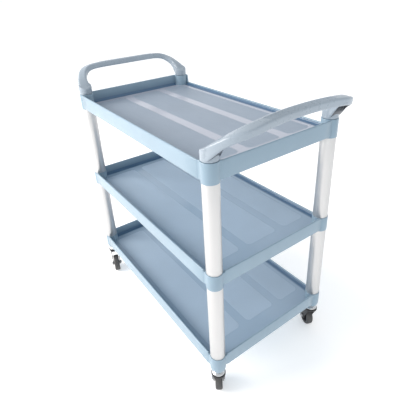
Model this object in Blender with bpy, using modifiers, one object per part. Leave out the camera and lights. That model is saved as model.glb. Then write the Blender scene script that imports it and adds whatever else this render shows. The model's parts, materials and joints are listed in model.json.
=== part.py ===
"""Three-tray food service trolley on four swivel casters, one object for each piece that comes apart.

Metres, +Z up. The origin is on the floor, midway between the legs; +X runs along the trays.
The +Y side of each tray is the open side, with a low lip. Corners are named from the +X end:
fr is +X -Y, fl is +X +Y, rr is -X -Y and rl is -X +Y.
"""

import math

import bmesh
import bpy
from mathutils import Matrix, Vector

GAP = 0.0003
CUT_OVER = 0.02

LEG_X = 0.4125
LEG_Y = 0.2245
LEG_RADIUS = 0.024
LEG_WALL = 0.0015
CORNERS = {"fr": (1, -1), "fl": (1, 1), "rr": (-1, -1), "rl": (-1, 1)}

TRAY_HALF_X = 0.435
TRAY_HALF_Y = 0.250
TRAY_CORNER = 0.022
TRAY_WALL = 0.006
FLOOR_THICKNESS = 0.0035
FLOOR_RECESS = 0.006
FLOOR_FILLET = 0.009
RIM_ROUNDING = 0.0022
LIP_HEIGHT = 0.011
COLLAR_RADIUS = 0.0255
COLLAR_BORE = 0.017
COLLAR_ROOM = 0.0262
SPIGOT_RADIUS = LEG_RADIUS - LEG_WALL - GAP
SPIGOT_LENGTH = 0.025

RIM_TOP = 0.870
RIM_MIDDLE = 0.530
RIM_BOTTOM = 0.195
WALL_TOP = 0.053
WALL_LOWER = 0.0485
COLLAR_BELOW_WALL = 0.006
COLLAR_BELOW_WALL_MIDDLE = 0.008
LEG_SEAT = 0.005
LEG_SEAT_BOTTOM = 0.006
CASTER_COLLAR_END = 0.127
CASTER_COLLAR_TIP = 0.0205
CASTER_COLLAR_TAPER = 0.012

HANDLE_FOOT_RADIUS = 0.0245
HANDLE_FOOT_HEIGHT = 0.036
HANDLE_FOOT_LEAN = 0.5
HANDLE_SPIGOT_RADIUS = COLLAR_BORE - GAP
HANDLE_SPIGOT_LENGTH = 0.036
HANDLE_START = 0.0125
HANDLE_REACH = 0.0745
HANDLE_HEIGHT = 0.0893
HANDLE_BAR_HALF = 0.175
HANDLE_LIMB = (0.0616, 0.0832)
HANDLE_SHOULDER = (0.1155, 0.063, 0.083)
HANDLE_TILT = 0.133
BAND_WIDTH = 0.0315
BAND_DEPTH = 0.0235
BAND_FOOT_WIDTH = 0.035
BAND_FOOT_DEPTH = 0.045
BAND_BLEND = 0.070
BAND_SKIN = 0.0035
BAND_STATIONS = 29
BAND_SIDES = 12
BAND_ROUNDNESS = 4.0
HANDLE_CELLS = 12
CELL_SHARE = 0.9
CELL_FIRST = 0.15

WHEEL_RADIUS = 0.0375
TYRE_WIDTH = 0.024
TYRE_BORE = 0.0285
HUB_WIDTH = 0.023
HUB_TUBE = 0.0105
SLEEVE_RADIUS = 0.0065
AXLE_RADIUS = 0.004
FORK_INSIDE = 0.0145
FORK_CHEEK = 0.003
FORK_TOP = 0.1075
FORK_BRIDGE = 0.0095
FORK_BOSS = 0.0115
CROWN_RADIUS = 0.0235
TRAIL = 0.028
PIN_RADIUS = 0.005
STEM_RADIUS = 0.006
STEM_TOP = 0.168
FLANGE_RADIUS = 0.0215
FLANGE_LOW = 0.1095
FLANGE_HIGH = 0.1128
CASTER_HEADINGS = {"fr": 144.0, "fl": 156.0, "rr": -18.0, "rl": 161.0}

LEG_STEPS = 24
POST_STEPS = 24
BORE_STEPS = 16
TYRE_STEPS = 24
STEM_STEPS = 16
PIN_STEPS = 12


def clear_scene():
    for old in list(bpy.data.objects):
        bpy.data.objects.remove(old, do_unlink=True)


def new_collection(name):
    made = bpy.data.collections.new(name)
    bpy.context.scene.collection.children.link(made)
    return made


def new_material(name, color, roughness, metallic=0.0):
    made = bpy.data.materials.new(name)
    made.use_nodes = True
    shader = made.node_tree.nodes["Principled BSDF"]
    shader.inputs["Base Color"].default_value = (*color, 1.0)
    shader.inputs["Roughness"].default_value = roughness
    shader.inputs["Metallic"].default_value = metallic
    return made


def add_object(name, mesh, collection, material=None):
    made = bpy.data.objects.new(name, mesh)
    collection.objects.link(made)
    if material:
        mesh.materials.append(material)
    return made


def as_cutter(obj):
    obj.hide_render = True
    obj.display_type = "WIRE"
    return obj


def smooth(mesh):
    mesh.shade_smooth()
    mesh.set_sharp_from_angle(angle=math.radians(35))


def rounded_box(name, low, high, corner, top=0.0, bottom=0.0, segments=3):
    """A box mesh whose upright edges, top rim and bottom rim are rounded."""
    low = Vector(low)
    high = Vector(high)
    bm = bmesh.new()
    bmesh.ops.create_cube(bm, size=1.0)
    bmesh.ops.scale(bm, vec=high - low, verts=bm.verts)
    bmesh.ops.translate(bm, vec=(low + high) / 2, verts=bm.verts)

    def round_edges(radius, chosen, count):
        edges = [edge for edge in bm.edges if chosen(*(v.co for v in edge.verts))]
        bmesh.ops.bevel(
            bm,
            geom=edges,
            offset=radius,
            offset_type="OFFSET",
            segments=count,
            profile=0.5,
            affect="EDGES",
            clamp_overlap=True,
        )

    if corner:
        round_edges(corner, lambda a, b: abs(a.z - b.z) > (high.z - low.z) / 2, segments)
    if top:
        round_edges(top, lambda a, b: min(a.z, b.z) > high.z - 1e-6, 2)
    if bottom:
        round_edges(bottom, lambda a, b: max(a.z, b.z) < low.z + 1e-6, 3)
    mesh = bpy.data.meshes.new(name)
    bm.to_mesh(mesh)
    bm.free()
    return mesh


def turned(name, profile, collection, material=None, closed=False, steps=POST_STEPS):
    """A turned piece: the profile of (radius, height) points is swept round the piece's own Z."""
    mesh = bpy.data.meshes.new(name)
    edges = [(i, i + 1) for i in range(len(profile) - 1)]
    if closed:
        edges.append((len(profile) - 1, 0))
    mesh.from_pydata([(radius, 0.0, height) for radius, height in profile], edges, [])
    made = add_object(name, mesh, collection, material)
    screw = made.modifiers.new("turn", "SCREW")
    screw.axis = "Z"
    screw.angle = math.tau
    screw.steps = steps
    screw.render_steps = steps
    screw.use_merge_vertices = True
    screw.merge_threshold = 0.0001
    screw.use_smooth_shade = False
    return made


def ring(name, outer, inner, low, high, collection, material, steps=BORE_STEPS):
    profile = [(outer, high), (outer, low), (inner, low), (inner, high)]
    return turned(name, profile, collection, material, closed=True, steps=steps)


def hex_nut(name, across, bore, low, high, collection, material):
    """A six-sided nut whose hole clears a round bolt of the bore's radius."""
    clear = (bore + GAP) / math.cos(math.pi / 6)
    return ring(name, across, clear, low, high, collection, material, steps=6)


def solid_rod(name, profile, collection, material=None, steps=POST_STEPS):
    """A turned solid from the outer (radius, height) points, top to bottom."""
    ends = [(0.0, profile[0][1])] + list(profile) + [(0.0, profile[-1][1])]
    return turned(name, ends, collection, material, steps=steps)


def boolean(obj, operation, other):
    cut = obj.modifiers.new(operation.lower(), "BOOLEAN")
    cut.operation = operation
    cut.solver = "EXACT"
    if isinstance(other, bpy.types.Collection):
        cut.operand_type = "COLLECTION"
        cut.collection = other
    else:
        cut.object = other
    return cut


def evaluated_mesh(obj, name):
    graph = bpy.context.evaluated_depsgraph_get()
    mesh = bpy.data.meshes.new_from_object(obj.evaluated_get(graph))
    mesh.name = name
    return mesh


# Trays


def collar_profile(seat, end, spigot_up, spigot_down):
    """The outside of a tray's corner post, top to bottom, with the spigots that enter the leg tubes."""
    profile = []
    if spigot_up:
        profile += [(SPIGOT_RADIUS, seat + SPIGOT_LENGTH), (SPIGOT_RADIUS, seat)]
    profile += [(COLLAR_RADIUS, seat)]
    if spigot_down:
        profile += [(COLLAR_RADIUS, end), (SPIGOT_RADIUS, end), (SPIGOT_RADIUS, end - SPIGOT_LENGTH)]
    else:
        profile += [(COLLAR_RADIUS, end + CASTER_COLLAR_TAPER), (CASTER_COLLAR_TIP, end)]
    return profile


def build_tray(name, rim, wall, seat, end, spigot_up, spigot_down, parts, cutters, material):
    """A moulded tray: walls on three sides, a low lip on the +Y side and a post in each corner."""
    base = rim - wall
    floor = base + FLOOR_RECESS + FLOOR_THICKNESS
    body = rounded_box(
        name,
        (-TRAY_HALF_X, -TRAY_HALF_Y, base),
        (TRAY_HALF_X, TRAY_HALF_Y, rim),
        TRAY_CORNER,
        top=RIM_ROUNDING,
        bottom=RIM_ROUNDING / 2,
    )
    tray = add_object(name, body, parts, material)
    inner_x = TRAY_HALF_X - TRAY_WALL
    inner_y = TRAY_HALF_Y - TRAY_WALL
    inner_corner = TRAY_CORNER - TRAY_WALL
    hollow = rounded_box(
        name + "_hollow",
        (-inner_x, -inner_y, floor),
        (inner_x, inner_y, rim + CUT_OVER),
        inner_corner,
        bottom=FLOOR_FILLET,
    )
    recess = rounded_box(
        name + "_recess",
        (-inner_x, -inner_y, base - CUT_OVER),
        (inner_x, inner_y, base + FLOOR_RECESS),
        inner_corner,
    )
    open_half = LEG_X - COLLAR_RADIUS
    opening = rounded_box(
        name + "_open_side",
        (-open_half, TRAY_HALF_Y - 2 * TRAY_WALL, floor + LIP_HEIGHT),
        (open_half, TRAY_HALF_Y + CUT_OVER, rim + CUT_OVER),
        0.0,
    )
    for mesh in (hollow, recess, opening):
        boolean(tray, "DIFFERENCE", as_cutter(add_object(mesh.name, mesh, cutters)))
    posts = new_collection(name + "_posts")
    bores = new_collection(name + "_bores")
    clearances = new_collection(name + "_clearances")
    high = seat + (SPIGOT_LENGTH if spigot_up else 0.0)
    low = end - (SPIGOT_LENGTH if spigot_down else 0.0)
    for corner, (side_x, side_y) in CORNERS.items():
        place = (side_x * LEG_X, side_y * LEG_Y, 0.0)
        post = solid_rod(
            f"{name}_post_{corner}", collar_profile(seat, end, spigot_up, spigot_down), posts
        )
        bore = solid_rod(
            f"{name}_bore_{corner}",
            [(COLLAR_BORE, high + CUT_OVER), (COLLAR_BORE, low - CUT_OVER)],
            bores,
        )
        helpers = [post, bore]
        if spigot_up:
            room = [(COLLAR_ROOM, rim + CUT_OVER), (COLLAR_ROOM, seat)]
            helpers.append(solid_rod(f"{name}_clearance_{corner}", room, clearances))
        for helper in helpers:
            as_cutter(helper).location = place
    if spigot_up:
        boolean(tray, "DIFFERENCE", clearances)
    boolean(tray, "UNION", posts)
    boolean(tray, "DIFFERENCE", bores)
    return tray


# Handles


def handle_point(share):
    """The band's middle line, in the handle's frame: share 0 is the -Y foot and 1 the +Y foot."""
    side = -1.0 if share <= 0.5 else 1.0
    t = 2 * share if share <= 0.5 else 2 - 2 * share
    shoulder_x, shoulder_in, shoulder_z = HANDLE_SHOULDER
    points = [
        Vector((LEG_X, side * LEG_Y, HANDLE_START)),
        Vector((LEG_X + HANDLE_LIMB[0], side * LEG_Y, HANDLE_LIMB[1])),
        Vector((LEG_X + shoulder_x, side * (LEG_Y - shoulder_in), shoulder_z)),
        Vector((LEG_X + HANDLE_REACH, side * HANDLE_BAR_HALF, HANDLE_HEIGHT)),
        Vector((LEG_X + HANDLE_REACH, 0.0, HANDLE_HEIGHT)),
    ]
    while len(points) > 1:
        points = [a.lerp(b, t) for a, b in zip(points, points[1:])]
    return points[0]


def handle_frame(share):
    """(middle, across, outward) of the band at this share of its length."""
    step = 0.002
    low = max(0.0, share - step)
    high = min(1.0, share + step)
    tangent = (handle_point(high) - handle_point(low)).normalized()
    tilted = Vector((math.cos(HANDLE_TILT), 0.0, -math.sin(HANDLE_TILT)))
    outward = tilted.cross(tangent).normalized()
    return handle_point(share), tangent.cross(outward), outward


def band_size(share):
    """(width, depth) of the band, which grows to the foot's size at each end."""
    middle = handle_point(share)
    ends = (handle_point(0.0), handle_point(1.0))
    near = min(1.0, min((middle - end).length for end in ends) / BAND_BLEND)
    blend = near * near * (3 - 2 * near)
    width = BAND_FOOT_WIDTH + (BAND_WIDTH - BAND_FOOT_WIDTH) * blend
    depth = BAND_FOOT_DEPTH + (BAND_DEPTH - BAND_FOOT_DEPTH) * blend
    return width, depth


def loft(rings):
    """(vertices, faces) through rings of equal count, closed with a face at each end."""
    count = len(rings[0])
    vertices = [point for ring_points in rings for point in ring_points]
    faces = []
    for i in range(len(rings) - 1):
        for j in range(count):
            k = (j + 1) % count
            faces.append((i * count + j, i * count + k, (i + 1) * count + k, (i + 1) * count + j))
    last = (len(rings) - 1) * count
    faces.append(tuple(range(count - 1, -1, -1)))
    faces.append(tuple(range(last, last + count)))
    return vertices, faces


def band_ring(share):
    middle, across, outward = handle_frame(share)
    width, depth = band_size(share)
    points = []
    for i in range(BAND_SIDES):
        turn = math.tau * (i + 0.5) / BAND_SIDES
        c = math.cos(turn)
        s = math.sin(turn)
        reach = (abs(c) ** BAND_ROUNDNESS + abs(s) ** BAND_ROUNDNESS) ** (-1 / BAND_ROUNDNESS)
        points.append(middle + across * (width / 2 * c * reach) + outward * (depth / 2 * s * reach))
    return points


def cell_ring(share):
    """A rectangle that hollows the band from its inner side and leaves a skin of BAND_SKIN."""
    middle, across, outward = handle_frame(share)
    width, depth = band_size(share)
    half = width / 2 - BAND_SKIN
    top = outward * (depth / 2 - BAND_SKIN)
    bottom = outward * -(depth / 2 + BAND_SKIN)
    corners = (across * half + top, across * -half + top, across * -half + bottom, across * half + bottom)
    return [middle + corner for corner in corners]


def lofted_mesh(name, solids):
    bm = bmesh.new()
    for vertices, faces in solids:
        made = [bm.verts.new(point) for point in vertices]
        for face in faces:
            bm.faces.new([made[i] for i in face])
    bmesh.ops.recalc_face_normals(bm, faces=bm.faces)
    bmesh.ops.triangulate(bm, faces=bm.faces)
    mesh = bpy.data.meshes.new(name)
    bm.to_mesh(mesh)
    bm.free()
    return mesh


def foot_mesh(name, collection):
    """A round foot with its spigot; its top leans up towards the handle's bar."""
    rod = solid_rod(
        name,
        [
            (HANDLE_FOOT_RADIUS - 0.001, HANDLE_FOOT_HEIGHT),
            (HANDLE_FOOT_RADIUS, HANDLE_FOOT_HEIGHT - 0.001),
            (HANDLE_FOOT_RADIUS, GAP),
            (HANDLE_SPIGOT_RADIUS, GAP),
            (HANDLE_SPIGOT_RADIUS, -HANDLE_SPIGOT_LENGTH),
        ],
        collection,
    )
    bpy.context.view_layer.update()
    mesh = evaluated_mesh(rod, name)
    bpy.data.objects.remove(rod, do_unlink=True)
    for vertex in mesh.vertices:
        if vertex.co.z > HANDLE_FOOT_HEIGHT / 2:
            vertex.co.z += HANDLE_FOOT_LEAN * vertex.co.x
    return mesh


def build_handles(parts, cutters, material):
    """Two loop handles of one mesh: a hollow band with cross ribs, on two feet with spigots."""
    shares = [i / (BAND_STATIONS - 1) for i in range(BAND_STATIONS)]
    band = add_object("handle_band", lofted_mesh("handle_band", [loft([band_ring(s) for s in shares])]), cutters)
    cells = []
    pitch = (1 - 2 * CELL_FIRST) / HANDLE_CELLS
    for i in range(HANDLE_CELLS):
        start = CELL_FIRST + i * pitch
        end = start + pitch * CELL_SHARE
        cells.append(loft([cell_ring(start), cell_ring((start + end) / 2), cell_ring(end)]))
    cutter = as_cutter(add_object("handle_cells", lofted_mesh("handle_cells", cells), cutters))
    below_mesh = rounded_box("handle_below", (0.3, -0.4, -0.1), (0.6, 0.4, GAP), 0.0)
    below = as_cutter(add_object("handle_below", below_mesh, cutters))
    feet = new_collection("handle_feet")
    foot = foot_mesh("handle_foot", cutters)
    for side in (-1, 1):
        placed = as_cutter(add_object(f"handle_foot_{side}", foot, feet))
        placed.location = (LEG_X, side * LEG_Y, 0.0)
    boolean(band, "DIFFERENCE", cutter)
    boolean(band, "DIFFERENCE", below)
    boolean(band, "UNION", feet)
    bpy.context.view_layer.update()
    mesh = evaluated_mesh(band, "handle")
    smooth(mesh)
    mesh.materials.clear()
    mesh.materials.append(material)
    for name, turn in (("handle_front", 0.0), ("handle_rear", math.pi)):
        handle = add_object(name, mesh, parts)
        handle.location = (0.0, 0.0, RIM_TOP)
        handle.rotation_euler = (0.0, 0.0, turn)
    as_cutter(band)


# Legs


def build_legs(parts, material):
    inner = LEG_RADIUS - LEG_WALL
    middle_end = RIM_MIDDLE - WALL_LOWER - COLLAR_BELOW_WALL_MIDDLE
    spans = {
        "upper": (RIM_MIDDLE - LEG_SEAT + GAP, RIM_TOP - WALL_TOP - COLLAR_BELOW_WALL - GAP),
        "lower": (RIM_BOTTOM - LEG_SEAT_BOTTOM + GAP, middle_end - GAP),
    }
    for level, (low, high) in spans.items():
        for corner, (side_x, side_y) in CORNERS.items():
            name = f"leg_{level}_{corner}"
            leg = ring(name, LEG_RADIUS, inner, low, high, parts, material, steps=LEG_STEPS)
            leg.location = (side_x * LEG_X, side_y * LEG_Y, 0.0)


# Casters, each in a frame with its swivel axis on Z and its wheel trailing towards +X


def fork_outline():
    """The cheek seen from the side: a straight-sided web from the crown down to the axle boss."""
    centre = Vector((TRAIL, WHEEL_RADIUS))
    top = FORK_TOP - FORK_BRIDGE / 2
    points = [Vector((-0.016, FORK_TOP)), Vector((-0.0175, top))]
    start = math.radians(205)
    sweep = math.radians(190)
    steps = 8
    for i in range(steps + 1):
        turn = start + sweep * i / steps
        points.append(centre + Vector((math.cos(turn), math.sin(turn))) * FORK_BOSS)
    points += [Vector((0.0235, top)), Vector((0.0215, FORK_TOP))]
    return points


def build_cheek(name, side, collection):
    """One fork cheek: a flat outline, extruded to its thickness and turned upright."""
    curve = bpy.data.curves.new(name, "CURVE")
    curve.dimensions = "2D"
    curve.fill_mode = "BOTH"
    curve.extrude = FORK_CHEEK / 2
    outline = fork_outline()
    spline = curve.splines.new("POLY")
    spline.points.add(len(outline) - 1)
    spline.use_cyclic_u = True
    for point, place in zip(spline.points, outline):
        point.co = (place.x, place.y, 0.0, 1.0)
    flat = bpy.data.objects.new(name + "_flat", curve)
    collection.objects.link(flat)
    bpy.context.view_layer.update()
    mesh = evaluated_mesh(flat, name)
    bpy.data.objects.remove(flat, do_unlink=True)
    upright = Matrix.Translation((0.0, side * (FORK_INSIDE + FORK_CHEEK / 2), 0.0))
    mesh.transform(upright @ Matrix.Rotation(math.pi / 2, 4, "X"))
    bm = bmesh.new()
    bm.from_mesh(mesh)
    bmesh.ops.remove_doubles(bm, verts=bm.verts, dist=1e-6)
    bmesh.ops.recalc_face_normals(bm, faces=bm.faces)
    bm.to_mesh(mesh)
    bm.free()
    return as_cutter(add_object(name, mesh, collection))


def fork_mesh(cutters):
    """The fork as one piece: a bridge and a round crown joined to two cheeks, bored for pin and axle."""
    outer = FORK_INSIDE + FORK_CHEEK
    low = FORK_TOP - FORK_BRIDGE
    bridge = rounded_box("fork_bridge", (-0.0165, -outer + 0.0002, low), (0.0225, outer - 0.0002, FORK_TOP), 0.004)
    fork = add_object("fork_blank", bridge, cutters)
    joined = new_collection("fork_joined")
    for name, side in (("fork_cheek_a", 1), ("fork_cheek_b", -1)):
        build_cheek(name, side, joined)
    crown = [(CROWN_RADIUS - 0.0015, FORK_TOP), (CROWN_RADIUS, FORK_TOP - 0.0015), (CROWN_RADIUS, low)]
    as_cutter(solid_rod("fork_crown", crown, joined, steps=STEM_STEPS))
    boolean(fork, "UNION", joined)
    bored = new_collection("fork_bored")
    pin = [(PIN_RADIUS + GAP, FORK_TOP + CUT_OVER), (PIN_RADIUS + GAP, low - CUT_OVER)]
    as_cutter(solid_rod("fork_pin_hole", pin, bored, steps=PIN_STEPS))
    across = [(AXLE_RADIUS + GAP, 0.04), (AXLE_RADIUS + GAP, -0.04)]
    axle = as_cutter(solid_rod("fork_axle_hole", across, bored, steps=PIN_STEPS))
    axle.location = (TRAIL, 0.0, WHEEL_RADIUS)
    axle.rotation_euler = (math.pi / 2, 0.0, 0.0)
    boolean(fork, "DIFFERENCE", bored)
    bpy.context.view_layer.update()
    mesh = evaluated_mesh(fork, "fork")
    smooth(mesh)
    as_cutter(fork)
    return mesh


def wheel_pieces(corner, parts, materials):
    """Tyre, hub, sleeve, axle bolt and nut, turned about the axle."""
    half = TYRE_WIDTH / 2
    shoulder = 0.004
    tyre = [
        (WHEEL_RADIUS - shoulder, half),
        (WHEEL_RADIUS - 0.001, half - 0.0028),
        (WHEEL_RADIUS, half - 0.0075),
        (WHEEL_RADIUS, -half + 0.0075),
        (WHEEL_RADIUS - 0.001, -half + 0.0028),
        (WHEEL_RADIUS - shoulder, -half),
        (TYRE_BORE, -half),
        (TYRE_BORE, half),
    ]
    hub_half = HUB_WIDTH / 2
    rim = TYRE_BORE - GAP
    bore = SLEEVE_RADIUS + GAP
    web = 0.003
    hub = [
        (rim, hub_half),
        (rim, -hub_half),
        (rim - 0.0025, -hub_half),
        (rim - 0.004, -web),
        (HUB_TUBE + 0.0015, -web),
        (HUB_TUBE, -hub_half - 0.0015),
        (bore, -hub_half - 0.0015),
        (bore, hub_half + 0.0015),
        (HUB_TUBE, hub_half + 0.0015),
        (HUB_TUBE + 0.0015, web),
        (rim - 0.004, web),
        (rim - 0.0025, hub_half),
    ]
    sleeve_half = FORK_INSIDE - GAP
    bore_sleeve = AXLE_RADIUS + GAP
    outer = FORK_INSIDE + FORK_CHEEK
    head = 0.0072
    bolt = [
        (head - 0.0012, outer + 0.0042),
        (head, outer + 0.0034),
        (head, outer + GAP),
        (AXLE_RADIUS, outer + GAP),
        (AXLE_RADIUS, -outer - 0.0072),
    ]
    return {
        "tyre": turned(f"tyre_{corner}", tyre, parts, materials["rubber"], closed=True, steps=TYRE_STEPS),
        "hub": turned(f"hub_{corner}", hub, parts, materials["hub"], closed=True, steps=BORE_STEPS),
        "sleeve": ring(
            f"axle_sleeve_{corner}", SLEEVE_RADIUS, bore_sleeve, -sleeve_half, sleeve_half, parts, materials["steel"], PIN_STEPS
        ),
        "axle": solid_rod(f"axle_bolt_{corner}", bolt, parts, materials["steel"], steps=PIN_STEPS),
        "nut": hex_nut(
            f"axle_nut_{corner}", 0.0075, AXLE_RADIUS, -outer - 0.0058, -outer - GAP, parts, materials["steel"]
        ),
    }


def build_caster(corner, heading, fork, parts, materials):
    side_x, side_y = CORNERS[corner]
    frame = bpy.data.objects.new(f"caster_frame_{corner}", None)
    parts.objects.link(frame)
    frame.location = (side_x * LEG_X, side_y * LEG_Y, 0.0)
    frame.rotation_euler = (0.0, 0.0, math.radians(heading))

    sleeve_top = STEM_TOP + 0.004
    seat = CASTER_COLLAR_END - GAP
    flange = seat - 0.0022
    socket = [
        (COLLAR_BORE - GAP, sleeve_top),
        (COLLAR_BORE - GAP, seat),
        (CASTER_COLLAR_TIP - 0.0012, seat),
        (CASTER_COLLAR_TIP - 0.0018, flange),
        (STEM_RADIUS + GAP, flange),
        (STEM_RADIUS + GAP, sleeve_top),
    ]
    pieces = [turned(f"stem_socket_{corner}", socket, parts, materials["socket"], closed=True, steps=BORE_STEPS)]
    low = FORK_TOP - FORK_BRIDGE
    nut_low = low - GAP - 0.0055
    stem = [
        (STEM_RADIUS - 0.001, STEM_TOP),
        (STEM_RADIUS, STEM_TOP - 0.001),
        (STEM_RADIUS, flange - GAP),
        (0.0105, flange - GAP),
        (0.0105, flange - 0.0045),
        (FLANGE_RADIUS - 0.002, FLANGE_HIGH),
        (FLANGE_RADIUS, FLANGE_HIGH - 0.0008),
        (FLANGE_RADIUS, FLANGE_LOW),
        (PIN_RADIUS, FLANGE_LOW),
        (PIN_RADIUS, nut_low - 0.0012),
    ]
    pieces.append(solid_rod(f"stem_{corner}", stem, parts, materials["zinc"], steps=STEM_STEPS))
    race_low = FORK_TOP + GAP
    race_high = FLANGE_LOW - GAP
    pieces.append(ring(f"swivel_race_{corner}", 0.0188, PIN_RADIUS + GAP, race_low, race_high, parts, materials["steel"]))
    pieces.append(hex_nut(f"king_nut_{corner}", 0.009, PIN_RADIUS, nut_low, low - GAP, parts, materials["steel"]))
    pieces.append(add_object(f"fork_{corner}", fork, parts))
    for piece in wheel_pieces(corner, parts, materials).values():
        piece.location = (TRAIL, 0.0, WHEEL_RADIUS)
        piece.rotation_euler = (math.pi / 2, 0.0, 0.0)
        pieces.append(piece)
    for piece in pieces:
        piece.parent = frame


def main():
    clear_scene()
    parts = new_collection("food_service_trolley")
    cutters = new_collection("cutters")
    materials = {
        "plastic": new_material("moulded_plastic", (0.42, 0.52, 0.62), 0.38),
        "tube": new_material("anodised_tube", (0.85, 0.85, 0.86), 0.32, 0.9),
        "rubber": new_material("wheel_rubber", (0.07, 0.07, 0.075), 0.7),
        "hub": new_material("hub_plastic", (0.03, 0.03, 0.033), 0.45),
        "black": new_material("fork_black", (0.02, 0.02, 0.022), 0.4),
        "zinc": new_material("bright_zinc", (0.80, 0.81, 0.82), 0.25, 1.0),
        "steel": new_material("plain_steel", (0.55, 0.56, 0.57), 0.35, 1.0),
        "socket": new_material("socket_plastic", (0.30, 0.33, 0.36), 0.5),
    }
    plastic = materials["plastic"]
    collar_top = RIM_TOP - WALL_TOP - COLLAR_BELOW_WALL
    collar_middle = RIM_MIDDLE - WALL_LOWER - COLLAR_BELOW_WALL_MIDDLE
    build_tray("tray_top", RIM_TOP, WALL_TOP, RIM_TOP, collar_top, False, True, parts, cutters, plastic)
    build_tray(
        "tray_middle", RIM_MIDDLE, WALL_LOWER, RIM_MIDDLE - LEG_SEAT, collar_middle, True, True, parts, cutters, plastic
    )
    build_tray(
        "tray_bottom",
        RIM_BOTTOM,
        WALL_LOWER,
        RIM_BOTTOM - LEG_SEAT_BOTTOM,
        CASTER_COLLAR_END,
        True,
        False,
        parts,
        cutters,
        plastic,
    )
    build_legs(parts, materials["tube"])
    build_handles(parts, cutters, plastic)
    fork = fork_mesh(cutters)
    fork.materials.clear()
    fork.materials.append(materials["black"])
    for corner, heading in CASTER_HEADINGS.items():
        build_caster(corner, heading, fork, parts, materials)


main()
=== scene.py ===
"""Builds the finished looks of a three-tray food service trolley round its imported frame.

The frame's bodies are the chassis, four swivels and four wheels. +X runs along the trays and the
+Y side of each tray is open, with a low lip. Each operator makes one piece or group of like pieces.
"""

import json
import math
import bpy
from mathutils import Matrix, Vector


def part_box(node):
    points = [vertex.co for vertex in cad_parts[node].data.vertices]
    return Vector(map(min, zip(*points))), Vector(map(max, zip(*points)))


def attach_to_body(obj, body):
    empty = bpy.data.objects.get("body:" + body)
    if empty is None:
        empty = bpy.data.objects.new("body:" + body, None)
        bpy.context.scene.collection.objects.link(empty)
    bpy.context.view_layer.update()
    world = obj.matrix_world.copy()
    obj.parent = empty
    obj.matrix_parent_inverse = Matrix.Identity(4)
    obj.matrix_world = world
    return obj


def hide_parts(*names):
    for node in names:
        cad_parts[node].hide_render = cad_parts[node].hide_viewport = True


bl_info = {
    "name": "Food service trolley",
    "version": (1, 0, 0),
    "blender": (4, 5, 0),
    "location": "3D View > Sidebar > Trolley",
    "description": "Trays, tubes, handles and casters of a food service trolley, with their finishes",
    "category": "Object",
}

import bmesh
import bpy
from bpy.props import FloatProperty, FloatVectorProperty, IntProperty, PointerProperty
from bpy.types import Operator, Panel, PropertyGroup
from mathutils import Matrix, Vector

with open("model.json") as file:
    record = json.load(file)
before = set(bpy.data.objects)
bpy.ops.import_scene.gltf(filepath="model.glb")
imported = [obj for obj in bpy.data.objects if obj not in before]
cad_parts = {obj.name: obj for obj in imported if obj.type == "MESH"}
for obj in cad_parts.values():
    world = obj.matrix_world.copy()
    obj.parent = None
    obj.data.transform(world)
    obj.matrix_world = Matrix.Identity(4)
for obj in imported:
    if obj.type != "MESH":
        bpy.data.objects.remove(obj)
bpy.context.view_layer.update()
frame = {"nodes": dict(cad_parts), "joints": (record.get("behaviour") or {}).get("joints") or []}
JOINTS = {joint["name"]: joint for joint in frame["joints"]}
CORNERS = {"fr": (1, -1), "fl": (1, 1), "rr": (-1, -1), "rl": (-1, 1)}
LEG_X, LEG_Y = (abs(value) for value in JOINTS["swivel_fr_turn"]["pos_m"][:2])
WHEEL_HEIGHT = JOINTS["wheel_fr_roll"]["pos_m"][2]
SHARP = math.radians(38)


# Settings


def length(name, description, default, low=0.0, high=1.5):
    return FloatProperty(
        name=name, description=description, default=default, min=low, max=high, unit="LENGTH", precision=4
    )


def count(name, description, default, low=3, high=256):
    return IntProperty(name=name, description=description, default=default, min=low, max=high)


def color(name, description, default):
    return FloatVectorProperty(
        name=name, description=description, default=default, size=3, subtype="COLOR", min=0.0, max=1.0
    )


def share(name, description, default):
    return FloatProperty(
        name=name, description=description, default=default, min=0.0, max=1.0, subtype="FACTOR"
    )


class TraySizes(PropertyGroup):
    rim_top: length("Top rim", "Height of the top tray's rim above the floor", 0.870)
    rim_middle: length("Middle rim", "Height of the middle tray's rim above the floor", 0.530)
    rim_bottom: length("Bottom rim", "Height of the bottom tray's rim above the floor", 0.195)
    depth_top: length("Top wall", "Height of the top tray's walls", 0.053)
    depth_lower: length("Lower walls", "Height of the middle and bottom trays' walls", 0.0485)
    half_length: length("Half length", "From the middle of a tray to its end wall", 0.435)
    half_width: length("Half width", "From the middle of a tray to its long wall", 0.250)
    corner: length("Corner", "Radius of a tray's corner", 0.022)
    wall: length("Wall", "Thickness of the walls", 0.006)
    fillet: length("Fillet", "Radius between a wall and the floor", 0.009)
    floor_top: length("Floor height", "From the wall's lower edge to the floor's upper face", 0.0095)
    floor_under: length("Floor recess", "From the wall's lower edge to the floor's lower face", 0.006)
    lip: length("Lip", "Height of the open side's lip above the floor", 0.011)
    collar: length("Collar", "Radius of the corner collars", 0.0257)
    crease: length("Crease", "How far the walls dip where they meet the collars", 0.0022)
    collar_steps: count("Collar steps", "Sides of the corner collars", 72)


class FloorPattern(PropertyGroup):
    edge_front: length("Front edge", "Where the grained panels end at the +X side", 0.352)
    edge_rear: length("Rear edge", "Where the grained panels end at the -X side", 0.388)
    edge_side: length("Side edge", "Where the grained panels end at each long side", 0.212)
    band_right: length(
        "Right band", "Middle of the smooth band on the walled side, from the centre line", 0.060
    )
    band_left: length("Left band", "Middle of the smooth band on the open side, from the centre line", 0.100)
    band_width: length("Band width", "Width of a smooth band", 0.034)
    round: length("Panel corner", "Radius of the panels' corners", 0.016)


class TubeSizes(PropertyGroup):
    wall: length("Wall", "Thickness of the tube", 0.0015)
    steps: count("Steps", "Sides of the tube", 80)


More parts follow.
